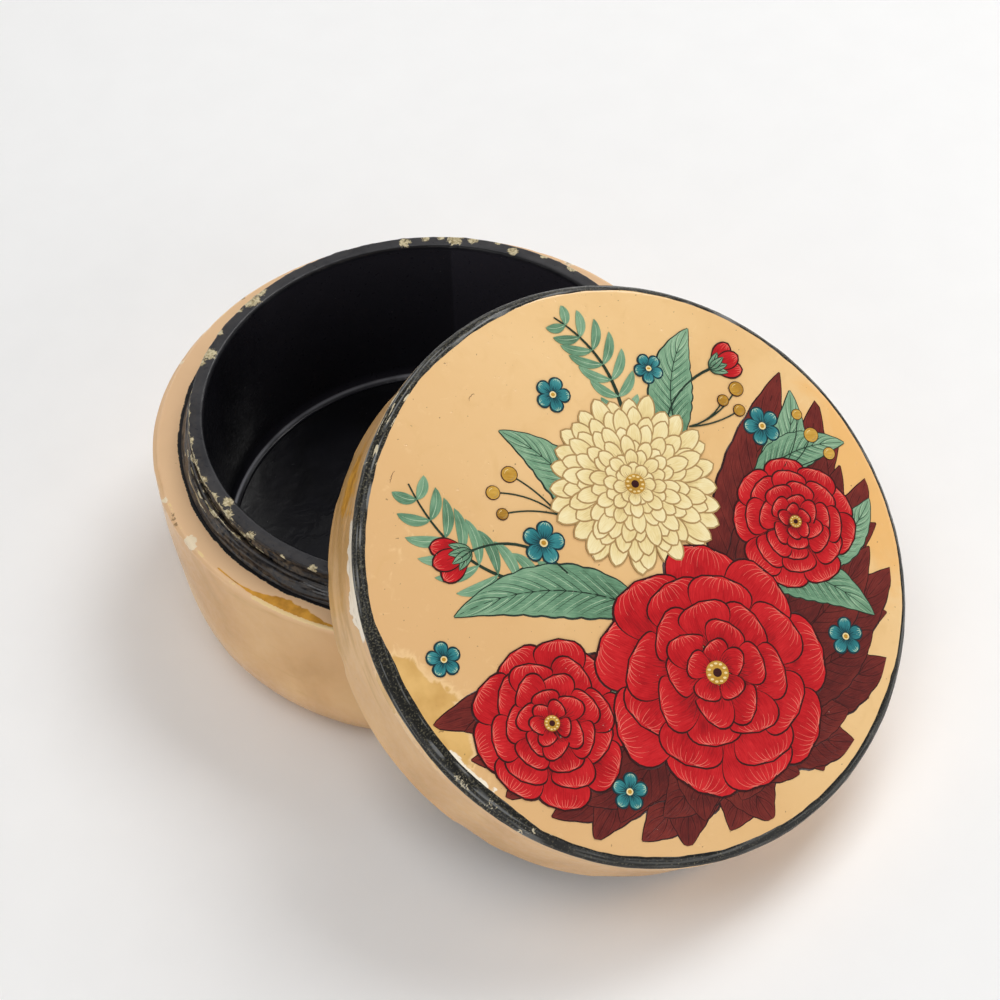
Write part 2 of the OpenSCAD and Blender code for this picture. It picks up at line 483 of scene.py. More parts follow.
class Skin:
    """The points of a skin in mm, with their radius r, height z and azimuth angle."""

    def __init__(self, points, angle):
        self.points, self.angle = points, angle
        self.r, self.z = np.hypot(points[:, 0], points[:, 1]), points[:, 2]

    def lumps(self, size, seed):
        return lumps(self.points, size, seed)

    def layers(self, level, reach, size, seed):
        return ragged_layers(self.angle, level, reach, size, seed)

    def around(self, start, end, fade=6):
        """1 for azimuths from start to end (degrees, counterclockwise), fading over `fade`."""
        half = (end - start) / 2
        off = np.abs((np.degrees(self.angle) - (start + end) / 2 + 180) % 360 - 180)
        return unit((half + fade - off) / fade)

    def near(self, centre, reach):
        """1 at a place and 0 beyond reach mm from it."""
        return unit(1 - np.linalg.norm(self.points - np.asarray(centre, float), axis=1) / reach)

    def ring(self, r, z, half, core=1.0):
        """1 on a level circle, fading over half mm all round it."""
        return unit(core - np.hypot(self.r - r, self.z - z) / half)

    def marked(self, marks, top):
        """Cover for a list of marks, each given by azimuth, radius, drop under the top and reach."""
        cover = np.zeros(len(self.points))
        for azimuth, radius, drop, reach in marks:
            a = math.radians(azimuth)
            place = (radius * math.cos(a), radius * math.sin(a), top - drop)
            cover = np.maximum(cover, self.near(place, reach))
        return np.clip(cover * 0.9, 0, 0.62)


# ---------------------------------------------------------------- mesh building

FINE_TURNS = 600
COARSE_TURNS = 180


def bow(centre, size, start, end, steps):
    """Points (r, z) along an arc of a circle or an ellipse, angles in degrees."""
    a = np.radians(np.linspace(start, end, steps + 1))
    half_r, half_z = np.broadcast_to(size, 2)
    return np.c_[centre[0] + half_r * np.cos(a), centre[1] + half_z * np.sin(a)]


def finely(outline, step):
    """The outline with points added so that none of its sides is longer than step."""
    outline = np.asarray(outline, float)
    out = []
    for a, b in zip(outline[:-1], outline[1:]):
        pieces = max(1, math.ceil(np.hypot(*(b - a)) / step))
        out += [a + (b - a) * i / pieces for i in range(pieces)]
    return np.array([*out, outline[-1]])


def new_piece(name, points, faces, material, fields=None, uv=None, place=None):
    """Makes a mesh object from points in mm, with smooth faces turned outward."""
    mesh = bpy.data.meshes.new(name)
    mesh.from_pydata((np.asarray(points) * MM).tolist(), [], faces)
    if place is not None:
        mesh.transform(place)
    for field, values in (fields or {}).items():
        layer = mesh.attributes.new(field, "FLOAT", "POINT")
        layer.data.foreach_set("value", np.asarray(values, np.float32))
    if uv is not None:
        layer = mesh.uv_layers.new(name="stroke")
        corner = np.empty(len(mesh.loops), np.int32)
        mesh.loops.foreach_get("vertex_index", corner)
        layer.data.foreach_set("uv", np.asarray(uv, np.float32)[corner].ravel())
    turned = bmesh.new()
    turned.from_mesh(mesh)
    bmesh.ops.recalc_face_normals(turned, faces=turned.faces)
    turned.to_mesh(mesh)
    turned.free()
    mesh.shade_smooth()
    mesh.materials.append(material)
    piece = bpy.data.objects.new(name, mesh)
    bpy.context.collection.objects.link(piece)
    return piece


def revolved(name, outline, turns, material, relief=None, fields=None, place=None):
    """Turns an outline of (r, z) points about Z into a closed solid.

    An outline that starts and ends on the axis closes there; any other is a ring's own loop.
    relief(skin) gives each point's push along the outline's normal in mm, and fields maps a name
    to a function of the pushed skin.
    """
    outline = np.asarray(outline, float)
    capped = outline[0][0] < 1e-6 and outline[-1][0] < 1e-6
    along = np.roll(outline, -1, 0) - np.roll(outline, 1, 0)
    if capped:
        along[0], along[-1] = outline[1] - outline[0], outline[-1] - outline[-2]
    normal = np.c_[along[:, 1], -along[:, 0]] / np.maximum(np.hypot(*along.T), 1e-9)[:, None]
    free = slice(1, -1) if capped else slice(None)
    n = len(outline[free])
    angle = np.repeat(np.arange(turns) * 2 * math.pi / turns, n)
    ring = np.tile(outline[free], (turns, 1))

    def spun(rz):
        return np.c_[rz[:, 0] * np.cos(angle), rz[:, 0] * np.sin(angle), rz[:, 1]]

    if relief:
        push = np.asarray(relief(Skin(spun(ring), angle)))
        ring = ring + np.tile(normal[free], (turns, 1)) * push[:, None]
    points = spun(ring)
    faces = []
    for t in range(turns):
        here, after = t * n, (t + 1) % turns * n
        for i in range(n - 1 if capped else n):
            up = (i + 1) % n
            faces.append((here + i, after + i, after + up, here + up))
    if capped:
        first, last = len(points), len(points) + 1
        points = np.vstack([points, [[0, 0, outline[0][1]], [0, 0, outline[-1][1]]]])
        angle = np.r_[angle, 0, 0]
        for t in range(turns):
            here, after = t * n, (t + 1) % turns * n
            faces.append((first, after, here))
            faces.append((last, here + n - 1, after + n - 1))
    skin = Skin(points, angle)
    values = {field: cover(skin) for field, cover in (fields or {}).items()}
    return new_piece(name, points, faces, material, values, place=place)


# ---------------------------------------------------------------- base

SHELL_CHIPS = [  # azimuth, radius, drop under the shoulder, reach
    (170.9, 49.3, 0, 2.4), (172.3, 49.7, 0.3, 1.6), (158, 49.9, 0.2, 1.4), (-122, 49.8, 0.2, 1.8),
    (64, 49.6, 0, 1.6), (15, 49.7, 0, 2.0), (118, 49.8, 0.1, 1.2), (-45, 49.8, 0.3, 1.7),
]
SHELL_NICKS = [  # the same measures
    (163.6, 49.9, 0.1, 1.0), (162.4, 49.7, 0, 0.9), (165.2, 49.9, 0.6, 1.0), (-12, 49.7, 0.2, 1.5),
    (95, 49.8, 0.2, 1.3),
]
AMBER_AZIMUTH = 199


def shell_relief(skin):
    """The shell is hand-moulded: it swells and dips a little, and its shoulder edge is chipped."""
    r, z = skin.r, skin.z
    bulge = 0.62 * skin.around(138, 158, 34) * unit(z / SHOULDER_Z) ** 2 * (r > BASE_R - 4)
    swell = 0.11 * skin.lumps(22, 3) + 0.045 * skin.lumps(6, 4) + 0.02 * skin.lumps(2.2, 6) - 0.15
    moulded = (swell + bulge * (z < SHOULDER_Z - 0.4)) * (z > 0.4)
    nicks = unit(skin.lumps(2.6, 5) - 0.2) * (0.5 + 0.5 * skin.around(150, 215, 10))
    chipped = 0.42 * skin.ring(BASE_R, SHOULDER_Z, 2.2) * nicks
    tuck = 0.8 * skin.around(138, 160, 18) * unit(z / 5) * unit((24 - z) / 12)
    return (moulded - chipped - 0.05 * shell_amber(skin) - tuck) * (r > STRIP_R - 1)


def shell_wear(skin):
    crest = skin.ring(BASE_R - 0.45, SHOULDER_Z - 0.15, 0.5, 1.2) * 0.3 * (0.8 + 0.4 * skin.lumps(1.6, 8))
    return np.maximum(skin.marked(SHELL_CHIPS, SHOULDER_Z), crest)


def shell_crest(skin):
    """The yellowed edge of the shoulder, rubbed through the tan in short lengths."""
    rubbed = 0.62 * skin.around(-165, -144, 5) + 0.16 * skin.around(160, 205, 8) + 0.2
    rubbed = np.clip(rubbed + 0.35 * skin.lumps(2.4, 16), 0, 0.75)
    return skin.ring(BASE_R - 0.6, SHOULDER_Z - 0.1, 0.6, 1.3) * rubbed


def shell_amber(skin):
    """A long pool of bare amber lacquer along the shoulder where its top coat has flaked off."""
    turn = (np.degrees(skin.angle) + 360) % 360 - AMBER_AZIMUTH
    swelling = np.exp(-((turn / 6.5) ** 2))
    half = (0.13 + 1.02 * swelling) * (1 + 0.25 * skin.lumps(2.4, 14) + 0.2 * skin.lumps(0.9, 15))
    middle = 48.95 - 0.95 * swelling
    reach = (np.abs(turn) < 19) * (skin.z > SHOULDER_Z - 0.9)
    return reach * np.clip(1.6 - np.abs(skin.r - middle) / half, 0, 0.85)


def shell_stain(skin):
    return skin.marked(SHELL_NICKS, SHOULDER_Z)


def shell_ledge_lit(skin):
    """1 on the flat shoulder, which is painted paler than the side as painted light falling on the top."""
    return unit(1 + (skin.z - SHOULDER_Z + 0.25) / 0.8)


def shell_paint(skin):
    """How far the neck's black paint runs out on the shoulder."""
    reach = STRIP_R + 0.55 + 0.25 * skin.lumps(5, 12) + 0.08 * skin.lumps(1.4, 13)
    return unit(0.5 + (reach - skin.r) / 0.6) * (skin.z > SHOULDER_Z - 0.6)


def make_shell(tan):
    bore = NECK_R + PASTE_GAP
    e = SHOULDER_EDGE_R
    foot = bow((BASE_R - BOTTOM_EDGE[0], BOTTOM_EDGE[1]), BOTTOM_EDGE, -90, 0, 26)
    shoulder = bow((BASE_R - e, SHOULDER_Z - e), e, 0, 90, 8)
    outline = np.vstack([
        finely([[0, 0], foot[0]], 4)[:-1],
        finely(np.vstack([foot, shoulder]), 0.6),
        finely([shoulder[-1], [STRIP_R - 0.5, SHOULDER_Z]], 0.3)[1:],
        [[bore, SHOULDER_Z], [bore, BOTTOM_Z], [0, BOTTOM_Z]]])
    fields = {"wear": shell_wear, "amber": shell_amber, "stain": shell_stain, "paint": shell_paint,
              "ledge": shell_ledge_lit, "crest": shell_crest}
    shell = revolved("shell_skin", outline, FINE_TURNS, tan, shell_relief, fields)
    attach(shell, "base")
    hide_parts("base_shell")


def floor_relief(skin):
    """The card disc dips a little inside the neck's fillet."""
    shown = (skin.z > FLOOR_Z - 0.1) & (skin.r < NECK_IN_R - 3)
    return np.where(shown, -0.14 + 0.10 * skin.lumps(16, 21), 0)


def make_floor_disc(black):
    top = FLOOR_Z - 0.02
    outline = finely([[0, BOTTOM_Z], [NECK_R, BOTTOM_Z], [NECK_R, top], [0, top]], 1.6)
    disc = revolved("floor_skin", outline, COARSE_TURNS, black, floor_relief)
    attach(disc, "base")
    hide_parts("floor_disc")


SEAM_AZIMUTH = 42.1
NECK_CHIPS = [  # azimuth, radius, drop under the rim, reach
    (172.5, 41.6, 0, 2.3), (175.5, 43.0, 0.3, 2.0), (169, 43.1, 0.5, 1.9), (163, 43.2, 0.4, 2.0),
    (157, 43.2, 0.6, 1.6), (150, 43.1, 0.3, 1.8), (166, 43.2, 1.3, 1.3), (160, 43.2, 1.7, 1.2),
    (154, 43.2, 1.2, 1.2), (146, 43.2, 0.9, 1.3), (141, 43.2, 0.3, 1.4), (134, 43.2, 0.5, 1.2),
    (120.7, 42.2, 0, 2.8), (124, 43, 0.2, 1.9), (113, 43.0, 0.2, 1.6), (99.7, 42.5, 0, 3.2),
    (96, 42.9, 0.1, 2.2), (104, 43, 0.2, 1.6), (54.5, 41.7, 0, 2.4), (49, 42.4, 0, 1.7),
    (45, 42.9, 0.1, 1.6), (41.2, 42.2, 0, 3.2), (36.5, 42.6, 0, 2.2), (30, 42.9, 0.1, 1.6),
    (25.2, 41.6, 0, 2.2), (17, 42.8, 0.1, 1.6), (8.3, 43.1, 0.2, 2.2), (-158, 43.2, 0.6, 1.8),
    (-166, 43.2, 1.0, 1.6), (-176, 43.2, 0.5, 2.0), (-62, 43.1, 0.3, 1.8), (-100, 42.6, 0, 1.8),
    (-20, 42.6, 0, 2.0),
]


def neck_relief(skin):
    """Torn paper layers outside, a lapped seam inside, and a slightly uneven rim."""
    drop = NECK_TOP_Z - skin.z
    outside = (skin.r > NECK_R - 0.3) & (drop < 6)
    layers = 0.30 * skin.layers(drop, 9, 0.75, 31) + 0.12 * skin.layers(drop, 3, 0.4, 33)
    torn = (layers - 0.28 - 0.5 * belt(drop, 2.7, 1.8)) * unit((drop - 0.1) / 0.8)
    burrs = 0.10 * skin.lumps(1.1, 35) - 0.35 * unit(skin.lumps(2.2, 36) - 0.25)
    inside = (skin.r < NECK_IN_R + 0.3) & (drop > 0.8)
    past_seam = (np.degrees(skin.angle) - SEAM_AZIMUTH) % 360
    over_floor = unit((skin.z - FLOOR_Z - FLOOR_FILLET_R) / 4)
    lap = 0.24 * unit((40 - past_seam) / 22) * unit(drop) * over_floor
    panel = 0.06 * skin.lumps(19, 37) + 0.02 * skin.lumps(5, 40) - 0.06
    rim = (0.07 * skin.lumps(5, 38) + 0.03 * skin.lumps(1.4, 39) - 0.10) * (drop < 0.56)
    return outside * (torn + burrs) + inside * (panel - lap) + rim


def neck_wear(skin):
    drop = NECK_TOP_Z - skin.z
    rubbed = 0.30 * skin.around(137, 176) + 0.15 * skin.around(20, 60, 10) + 0.28
    crest = skin.ring(NECK_R - 0.2, NECK_TOP_Z - 0.35, 0.75, 1.1) * rubbed
    dashes = 0.62 * unit(5 * skin.layers(drop, 3, 0.4, 44) - 1) * skin.around(140, 184, 14)
    dashes = dashes * (skin.r > NECK_R - 1.2) * (drop > 0.4) * (drop < 4.5)
    return np.maximum.reduce([skin.marked(NECK_CHIPS, NECK_TOP_Z), crest, dashes])


def neck_brown(skin):
    drop = NECK_TOP_Z - skin.z
    streaks = 0.45 + 0.4 * skin.around(138, 186, 16) + 0.3 * skin.layers(drop, 4, 0.5, 43)
    return belt(drop, 2.6, 1.9, 1.4) * unit(streaks) * (skin.r > NECK_R - 1.6)


def well_wall(skin):
    return (skin.r < NECK_IN_R + 0.5) & (skin.z < NECK_TOP_Z - 0.6)


def neck_sheen(skin):
    """How far the well's wall is painted lighter, as painted light with a little dust, most beyond its paste
    seam.
    """
    greyed = np.maximum(0.5 * skin.around(SEAM_AZIMUTH, 95, 25), 0.95 * skin.around(-40, SEAM_AZIMUTH, 1))
    return well_wall(skin) * greyed


def neck_matt(skin):
    """1 where the well's wall has lost its gloss."""
    return well_wall(skin) * skin.around(125, 220, 25)


def neck_rim(skin):
    """1 on the flat satin rim, fading into the black at both of its edges; there the rim is painted grey as a
    painted sheen.
    """
    return unit(1.4 - (NECK_TOP_Z - skin.z) / 0.22)


def neck_corner_dust_and_highlight(skin):
    """The pale line in the corner between wall and floor: a painted highlight along the corner's curve, over
    rubbed and dusty lacquer.
    """
    return skin.ring(NECK_IN_R - 0.95, FLOOR_Z + 0.6, 0.33, 1.3) * (0.72 + 0.28 * skin.lumps(4, 42))


def make_neck(black):
    e = 0.6
    hidden_z = SHOULDER_Z - 1
    inner_foot = FLOOR_Z + FLOOR_FILLET_R
    toe = NECK_IN_R - FLOOR_FILLET_R * (1 - math.cos(math.radians(75)))
    rim = np.vstack([
        bow((NECK_R - e, NECK_TOP_Z - e), e, 0, 90, 7),
        bow((NECK_IN_R + e, NECK_TOP_Z - e), e, 90, 180, 7)])
    outline = np.vstack([
        [[toe, FLOOR_Z], [NECK_R, FLOOR_Z]],
        finely([[NECK_R, hidden_z], [NECK_R, NECK_TOP_Z - e]], 0.15),
        finely(rim, 0.25)[1:],
        finely([[NECK_IN_R, NECK_TOP_Z - e], [NECK_IN_R, inner_foot]], 0.9)[1:-1],
        bow((NECK_IN_R - FLOOR_FILLET_R, inner_foot), FLOOR_FILLET_R, 0, -75, 18)])
    fields = {"wear": neck_wear, "brown": neck_brown, "rim": neck_rim, "corner": neck_corner_dust_and_highlight,
              "sheen": neck_sheen, "matt": neck_matt}
    neck = revolved("neck_skin", outline, FINE_TURNS, black, neck_relief, fields)
    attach(neck, "base")
    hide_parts("neck_ring")


def strip_relief(skin):
    """Ridges where the lacquer has pooled on the pasted strip."""
    across = skin.z - skin.r
    free = unit((skin.r - NECK_R) / 0.4) * unit((skin.z - SHOULDER_Z) / 0.35)
    ridges = 0.26 * skin.layers(across, 8, 0.8, 51) + 0.09 * skin.layers(across, 2.5, 0.45, 53)
    return free * (ridges + 0.08 * skin.lumps(2.2, 55) - 0.30)


def strip_wear(skin):
    dashes = unit(5 * skin.layers(skin.z - skin.r, 3, 0.4, 57) - 1)
    rubbed = 0.62 * dashes * skin.around(150, 178, 9) * (skin.z > SHOULDER_Z + 1)
    return np.maximum(0.38 * unit(skin.lumps(2.5, 56)), rubbed)


def strip_brown(skin):
    streaks = 0.5 + 0.5 * skin.layers(skin.z - skin.r, 5, 0.6, 58)
    return unit(streaks) * (0.35 + 0.5 * skin.around(146, 184, 14))


def make_strip(black):
    root_r = NECK_R - 0.4
    curve_over = bow((NECK_R, SHOULDER_Z), (STRIP_R - NECK_R, STRIP_TOP_Z - SHOULDER_Z), 0, 90, 22)
    outline = np.vstack([[[root_r, SHOULDER_Z]], curve_over, [[root_r, STRIP_TOP_Z]]])
    fields = {"wear": strip_wear, "brown": strip_brown}
    strip = revolved("strip_skin", outline, FINE_TURNS, black, strip_relief, fields)
    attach(strip, "base")
    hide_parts("neck_strip")


# ---------------------------------------------------------------- lid

FACE_CHIPS = [(-46.9, -6.6, 1.1), (-44.9, -14, 1.2)]  # x, y and reach
LINING_T = 0.3  # the black coat inside the lid's wall
CEILING_T = 0.2  # the black coat on the top disc's underside


def face_height(x, y):
    """The crowned face's height over the lid's open edge."""
    edge = LID_TOP_R - LID_TOP_EDGE_R
    return LID_H + LID_CROWN * unit(1 - (x * x + y * y) / edge**2)


def lid_wall_relief(skin):
    rings = 0.035 * skin.layers(skin.z, 12, 1.6, 60)
    swell = 0.10 * skin.lumps(20, 61) + 0.04 * skin.lumps(5, 62) + rings - 0.17
    chips = 0.7 * unit(1 - skin.z / 1.6) * unit(skin.lumps(4.2, 63) - 0.1)
    outer = skin.r > BASE_R - 1.2
    return np.where(outer, swell * np.clip(skin.z / 1.5, 0.15, 1) - chips, -0.05)


def lid_wall_wear(skin):
    turn = np.degrees(skin.angle) % 360 - 149
    reach = 4.0 * unit(1 - (turn / 11) ** 2) * (0.8 + 0.7 * skin.lumps(1.7, 67))
    strip = unit(0.5 + (skin.z - LID_WALL_H + reach) / 0.9) * (np.abs(turn) < 11)
    foot = unit(1 - skin.z / 0.9) * (0.30 + 0.45 * skin.lumps(4, 65))
    return np.maximum(strip * 0.9, foot)


def lid_wall_streaky(skin):
    return 0.08 + 0.92 * skin.around(112, 152, 16)


def lid_wall_amber(skin):
    band = 0.75 * skin.layers(skin.z, 16, 4.6, 66) + 0.42
    return unit(band) * (0.9 * skin.around(108, 150, 14) + 0.15)


def lid_seam(skin):
    """Dirt in the paste line between the top disc and the wall."""
    line = belt(skin.z, LID_WALL_H + 0.1, 0.35, 1.3)
    return line * np.clip(0.85 * skin.around(104, 142, 8) + 0.4, 0, 0.9)


def make_lid_wall(tan, black):
    """The lid's wall. Its inside face is a thin coat of its own, in black."""
    skin_in_r = LID_IN_R + LINING_T
    foot = bow((BASE_R - LID_EDGE_R, LID_EDGE_R), LID_EDGE_R, -90, 0, 6)
    outside = finely(np.vstack([foot, [[BASE_R, LID_WALL_H]]]), 0.4)
    outline = np.vstack([[[skin_in_r, 0]], outside, [[skin_in_r, LID_WALL_H]]])
    fields = {"wear": lid_wall_wear, "streaky": lid_wall_streaky, "amber": lid_wall_amber, "stain": lid_seam}
    wall = revolved("lid_wall_skin", outline, FINE_TURNS, tan, lid_wall_relief, fields, LID_PLACE)
    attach(wall, "lid")
    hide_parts("lid_wall")
    foot_in = [LID_IN_R, 0.15]
    coat = [foot_in, [skin_in_r, 0], [skin_in_r, LID_WALL_H], [LID_IN_R, LID_WALL_H], foot_in]
    lining = revolved("lid_wall_inside", finely(coat, 1.2)[:-1], COARSE_TURNS, black, place=LID_PLACE)
    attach(lining, "lid")


def face_shaded_side(skin):
    """The ground is painted darker towards one side, as painted shade on the side away from the light."""
    return unit((14 - skin.points[:, 0]) / 58)


def face_warm(skin):
    """A broad, faint golden tinge on the other side, where the lacquer is thickest."""
    return 0.9 * skin.near((52, -14, LID_H), 30)


def face_stain(skin):
    """Pools of golden lacquer along the band, and a fainter one farther in."""
    pools = [skin.near((-47.5, 8, LID_H), 7), skin.near((-46, 2, LID_H), 7), skin.near((-47, -5, LID_H), 5.5)]
    faint = 0.35 * skin.near((-36, 24, LID_H), 12) * unit(skin.lumps(5, 74))
    return 1.05 * np.maximum.reduce(pools) + faint


def face_wear(skin):
    """Bare gesso in chips on the face, in a smear along the band, and round the disc's side."""
    chips = [0.85 * skin.near((x, y, LID_H), reach) for x, y, reach in FACE_CHIPS]
    smear = unit((skin.r - 46.5) / 0.8) * skin.around(187, 195, 3) * (skin.z > LID_H - 0.1)
    smear = 0.8 * smear * (1 + 0.3 * skin.lumps(1.8, 75))
    side = belt(skin.z, LID_H - 2.7, 1.2, 1.8) * (0.75 * skin.around(139, 158, 3) + 0.22)
    return np.maximum.reduce([*chips, smear, side])


def lid_top_relief(skin):
    uneven = 0.05 * skin.lumps(18, 71) + 0.02 * skin.lumps(5, 72) - 0.07
    return np.where(skin.z > LID_WALL_H + CEILING_T + 0.05, uneven, 0)


def make_lid_top(ground, black):
    """The lid's top disc. Its underside is a thin coat of its own, in black."""
    e = LID_TOP_EDGE_R
    under_z = LID_WALL_H + CEILING_T
    edge = bow((LID_TOP_R - e, LID_H - e), e, 0, 90, 14)
    face_r = np.linspace(LID_TOP_R - e, 0, 90)[1:]
    side = [[LID_TOP_R - 0.25, LID_WALL_H], [LID_TOP_R, LID_WALL_H + 0.3], edge[0]]
    outline = np.vstack([
        [[0, under_z], [LID_IN_R, under_z]],
        finely(side, 0.25), edge[1:],
        np.c_[face_r, face_height(face_r, 0)]])
    fields = {"stain": face_stain, "wear": face_wear, "seam": lid_seam, "aged": face_shaded_side, "warm": face_warm}
    top = revolved("lid_top_skin", outline, FINE_TURNS, ground, lid_top_relief, fields, LID_PLACE)
    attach(top, "lid")
    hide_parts("lid_top")
    coat_r = LID_IN_R - 0.02
    under = finely([[0, LID_WALL_H], [coat_r, LID_WALL_H], [coat_r, under_z], [0, under_z]], 3)
    ceiling = revolved("lid_top_inside", under, COARSE_TURNS, black, place=LID_PLACE)
    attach(ceiling, "lid")


BAND_THICK = 0.12
BAND_SUNK = 0.25
BAND_TURNS, BAND_ACROSS = 760, 32
BAND_RUBS = [  # how strongly it is rubbed and streaked with painted highlight, and from which azimuth to which, with the fade
    (0.6, (82, 132, 14)), (0.7, (146, 160, 12)), (0.45, (176, 204, 8)), (0.6, (-20, 66, 12)),
]
ROUNDING = LID_TOP_EDGE_R * math.pi / 2  # length of the rounded edge's curve


def band_reach(angle):
    """The band's two edges, as distances from where the face starts to round over."""
    rim = Skin(around_rim(angle, 50), angle)
    hand = 0.22 * rim.lumps(9, 81) + 0.12 * rim.lumps(2.6, 82) + 0.05 * rim.lumps(1.2, 89)
    inner = 0.05 + 0.6 * rim.around(-42, 66, 16) - rim.around(166, 200, 9) + hand
    outer = ROUNDING - 0.35 + 0.28 * rim.lumps(7, 83) + 0.14 * rim.lumps(1.9, 84)
    return inner, outer


def make_band(paint):
    """The black band, brushed by hand over the top disc's rounded edge, wide and narrow by turns."""
    e = LID_TOP_EDGE_R
    angle = np.arange(BAND_TURNS) * 2 * math.pi / BAND_TURNS
    inner, outer = band_reach(angle)
    share = np.linspace(0, 1, BAND_ACROSS)
    at = inner[:, None] + (outer - inner)[:, None] * share
    turn, flat_at = np.repeat(angle, BAND_ACROSS), at.ravel()
    bend = np.clip(at / e, 0, math.pi / 2)
    r = LID_TOP_R - e + np.minimum(at, 0) + e * np.sin(bend)
    z = LID_H - e + e * np.cos(bend) - np.maximum(at - ROUNDING, 0)
    rise = np.minimum(1, np.minimum(share, 1 - share) * 8)
    coarse, fine = ragged_layers(turn, flat_at, 6, 0.42, 85), ragged_layers(turn, flat_at, 1.6, 0.3, 87)
    ridges = (0.055 * coarse + 0.03 * fine).reshape(r.shape)
    top = BAND_THICK * (rise - 0.5) + (ridges - 0.02) * rise
    sides = []
    for lift in (top, -BAND_SUNK):
        rr, zz = r + lift * np.sin(bend), z + lift * np.cos(bend)
        sides.append(np.stack([rr * np.cos(angle)[:, None], rr * np.sin(angle)[:, None], zz], -1))
    points = np.stack(sides, 0).reshape(-1, 3)
    upper = np.arange(BAND_TURNS * BAND_ACROSS).reshape(BAND_TURNS, BAND_ACROSS)
    loop = np.concatenate([upper, upper[:, ::-1] + upper.size], 1)
    after = np.roll(loop, -1, 0)
    quads = np.stack([loop, after, np.roll(after, -1, 1), np.roll(loop, -1, 1)], -1).reshape(-1, 4)
    fields = band_fields(Skin(points, np.tile(turn, 2)), np.tile(flat_at, 2))
    band = new_piece("rim_band", points, quads.tolist(), paint, fields, place=LID_PLACE)
    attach(band, "lid")


def band_fields(skin, across):
    """Where the band is worn and rubbed (rubbed also sets its painted highlight streaks), and its brush
    hairs; across is the distance over its width.
    """
    worn = 0.35 * unit(skin.lumps(4, 88))
    worn = worn + 0.45 * skin.around(-172, -148, 4) * unit(skin.lumps(1.8, 90) + 0.3)
    dashes = unit(4 * skin.layers(across, 2.4, 0.22, 92) - 1)
    return {
        "wear": np.maximum(worn, 0.60 * skin.around(110, 125, 4) * dashes),
        "rubbed": sum(share * skin.around(*lengths) for share, lengths in BAND_RUBS) + 0.15,
        "hairs": 0.5 + 0.5 * skin.layers(across, 5, 0.28, 91)}


# ---------------------------------------------------------------- the painted bouquet

# The bouquet is drawn upright as the photograph's view sees the lid: s to the right and t up.
FACE_TURN = math.radians(-36)
PAINT_R = 47.0  # the bouquet stays inside this radius, clear of the band
WIDE = np.array([-1, -0.96, -0.5, 0, 0.5, 0.96, 1])
NARROW = np.array([-1, -0.6, 0.6, 1])
PAINT_T = 0.0004  # how far each coat of paint lies over the one before, in mm

PIGMENTS = {  # dark, middle and pale tones
    "crimson": ((0.20, 0.003, 0.006), (0.48, 0.006, 0.011), (0.68, 0.022, 0.026)),
    "maroon": ((0.045, 0.008, 0.008), (0.115, 0.014, 0.012), (0.21, 0.028, 0.020)),
    "maroon_deep": ((0.020, 0.004, 0.004), (0.038, 0.006, 0.006), (0.07, 0.010, 0.008)),
    "maroon_line": ((0.045, 0.005, 0.006), (0.10, 0.008, 0.009), (0.18, 0.012, 0.012)),
    "rose_light": ((0.62, 0.06, 0.05), (0.76, 0.15, 0.11), (0.85, 0.28, 0.20)),
    "cream": ((0.60, 0.43, 0.17), (0.82, 0.66, 0.32), (0.92, 0.81, 0.50)),
    "comb": ((0.30, 0.17, 0.06), (0.42, 0.26, 0.10), (0.54, 0.37, 0.16)),
    "leaf": ((0.055, 0.13, 0.07), (0.15, 0.30, 0.18), (0.30, 0.47, 0.30)),
    "leaf_dark": ((0.008, 0.018, 0.012), (0.016, 0.036, 0.022), (0.03, 0.06, 0.035)),
    "leaf_light": ((0.34, 0.48, 0.32), (0.48, 0.62, 0.42), (0.58, 0.70, 0.50)),
    "teal": ((0.010, 0.09, 0.11), (0.025, 0.19, 0.21), (0.08, 0.34, 0.34)),
    "teal_dark": ((0.004, 0.02, 0.03), (0.008, 0.035, 0.045), (0.015, 0.06, 0.07)),
    "ochre": ((0.26, 0.12, 0.015), (0.50, 0.26, 0.03), (0.70, 0.43, 0.09)),
    "crack": ((0.16, 0.08, 0.035), (0.24, 0.13, 0.06), (0.34, 0.19, 0.09)),
}
# Pigments of a leaf's body, dark lines and pale lines
GREEN_LEAF = ("leaf", "leaf_dark", "leaf_light")
MAROON_LEAF = ("maroon", "maroon_deep", "maroon_line")
# Pigments of a petal's body, rim, shade lines and light lines, where it has them
RED_PETAL = ("crimson", "maroon_deep", "maroon_line", "rose_light")
CREAM_PETAL = ("cream", "comb", "comb", None)
TEAL_PETAL = ("teal", "teal_dark", "teal_dark", "leaf_light")


def headings(path):
    """The direction of a path at each of its points."""
    way = np.gradient(path, axis=0)
    return way / np.maximum(np.hypot(*way.T), 1e-9)[:, None]


def towards(a, b):
    """The direction from a to b."""
    return (b - a) / np.hypot(*(b - a))


def right_of(way):
    """The direction on the right of a way, or of each of several."""
    return np.stack([way[..., 1], -way[..., 0]], -1)


def curve(start, end, sag, steps):
    """A path from start to end that bows sideways by sag mm."""
    start, end = np.asarray(start, float), np.asarray(end, float)
    t = np.linspace(0, 1, steps)[:, None]
    return start + (end - start) * t + right_of(towards(start, end)) * sag * 4 * t * (1 - t)


def polar(centre, radius, degrees):
    a = math.radians(degrees)
    return np.array([centre[0] + radius * math.cos(a), centre[1] + radius * math.sin(a)])


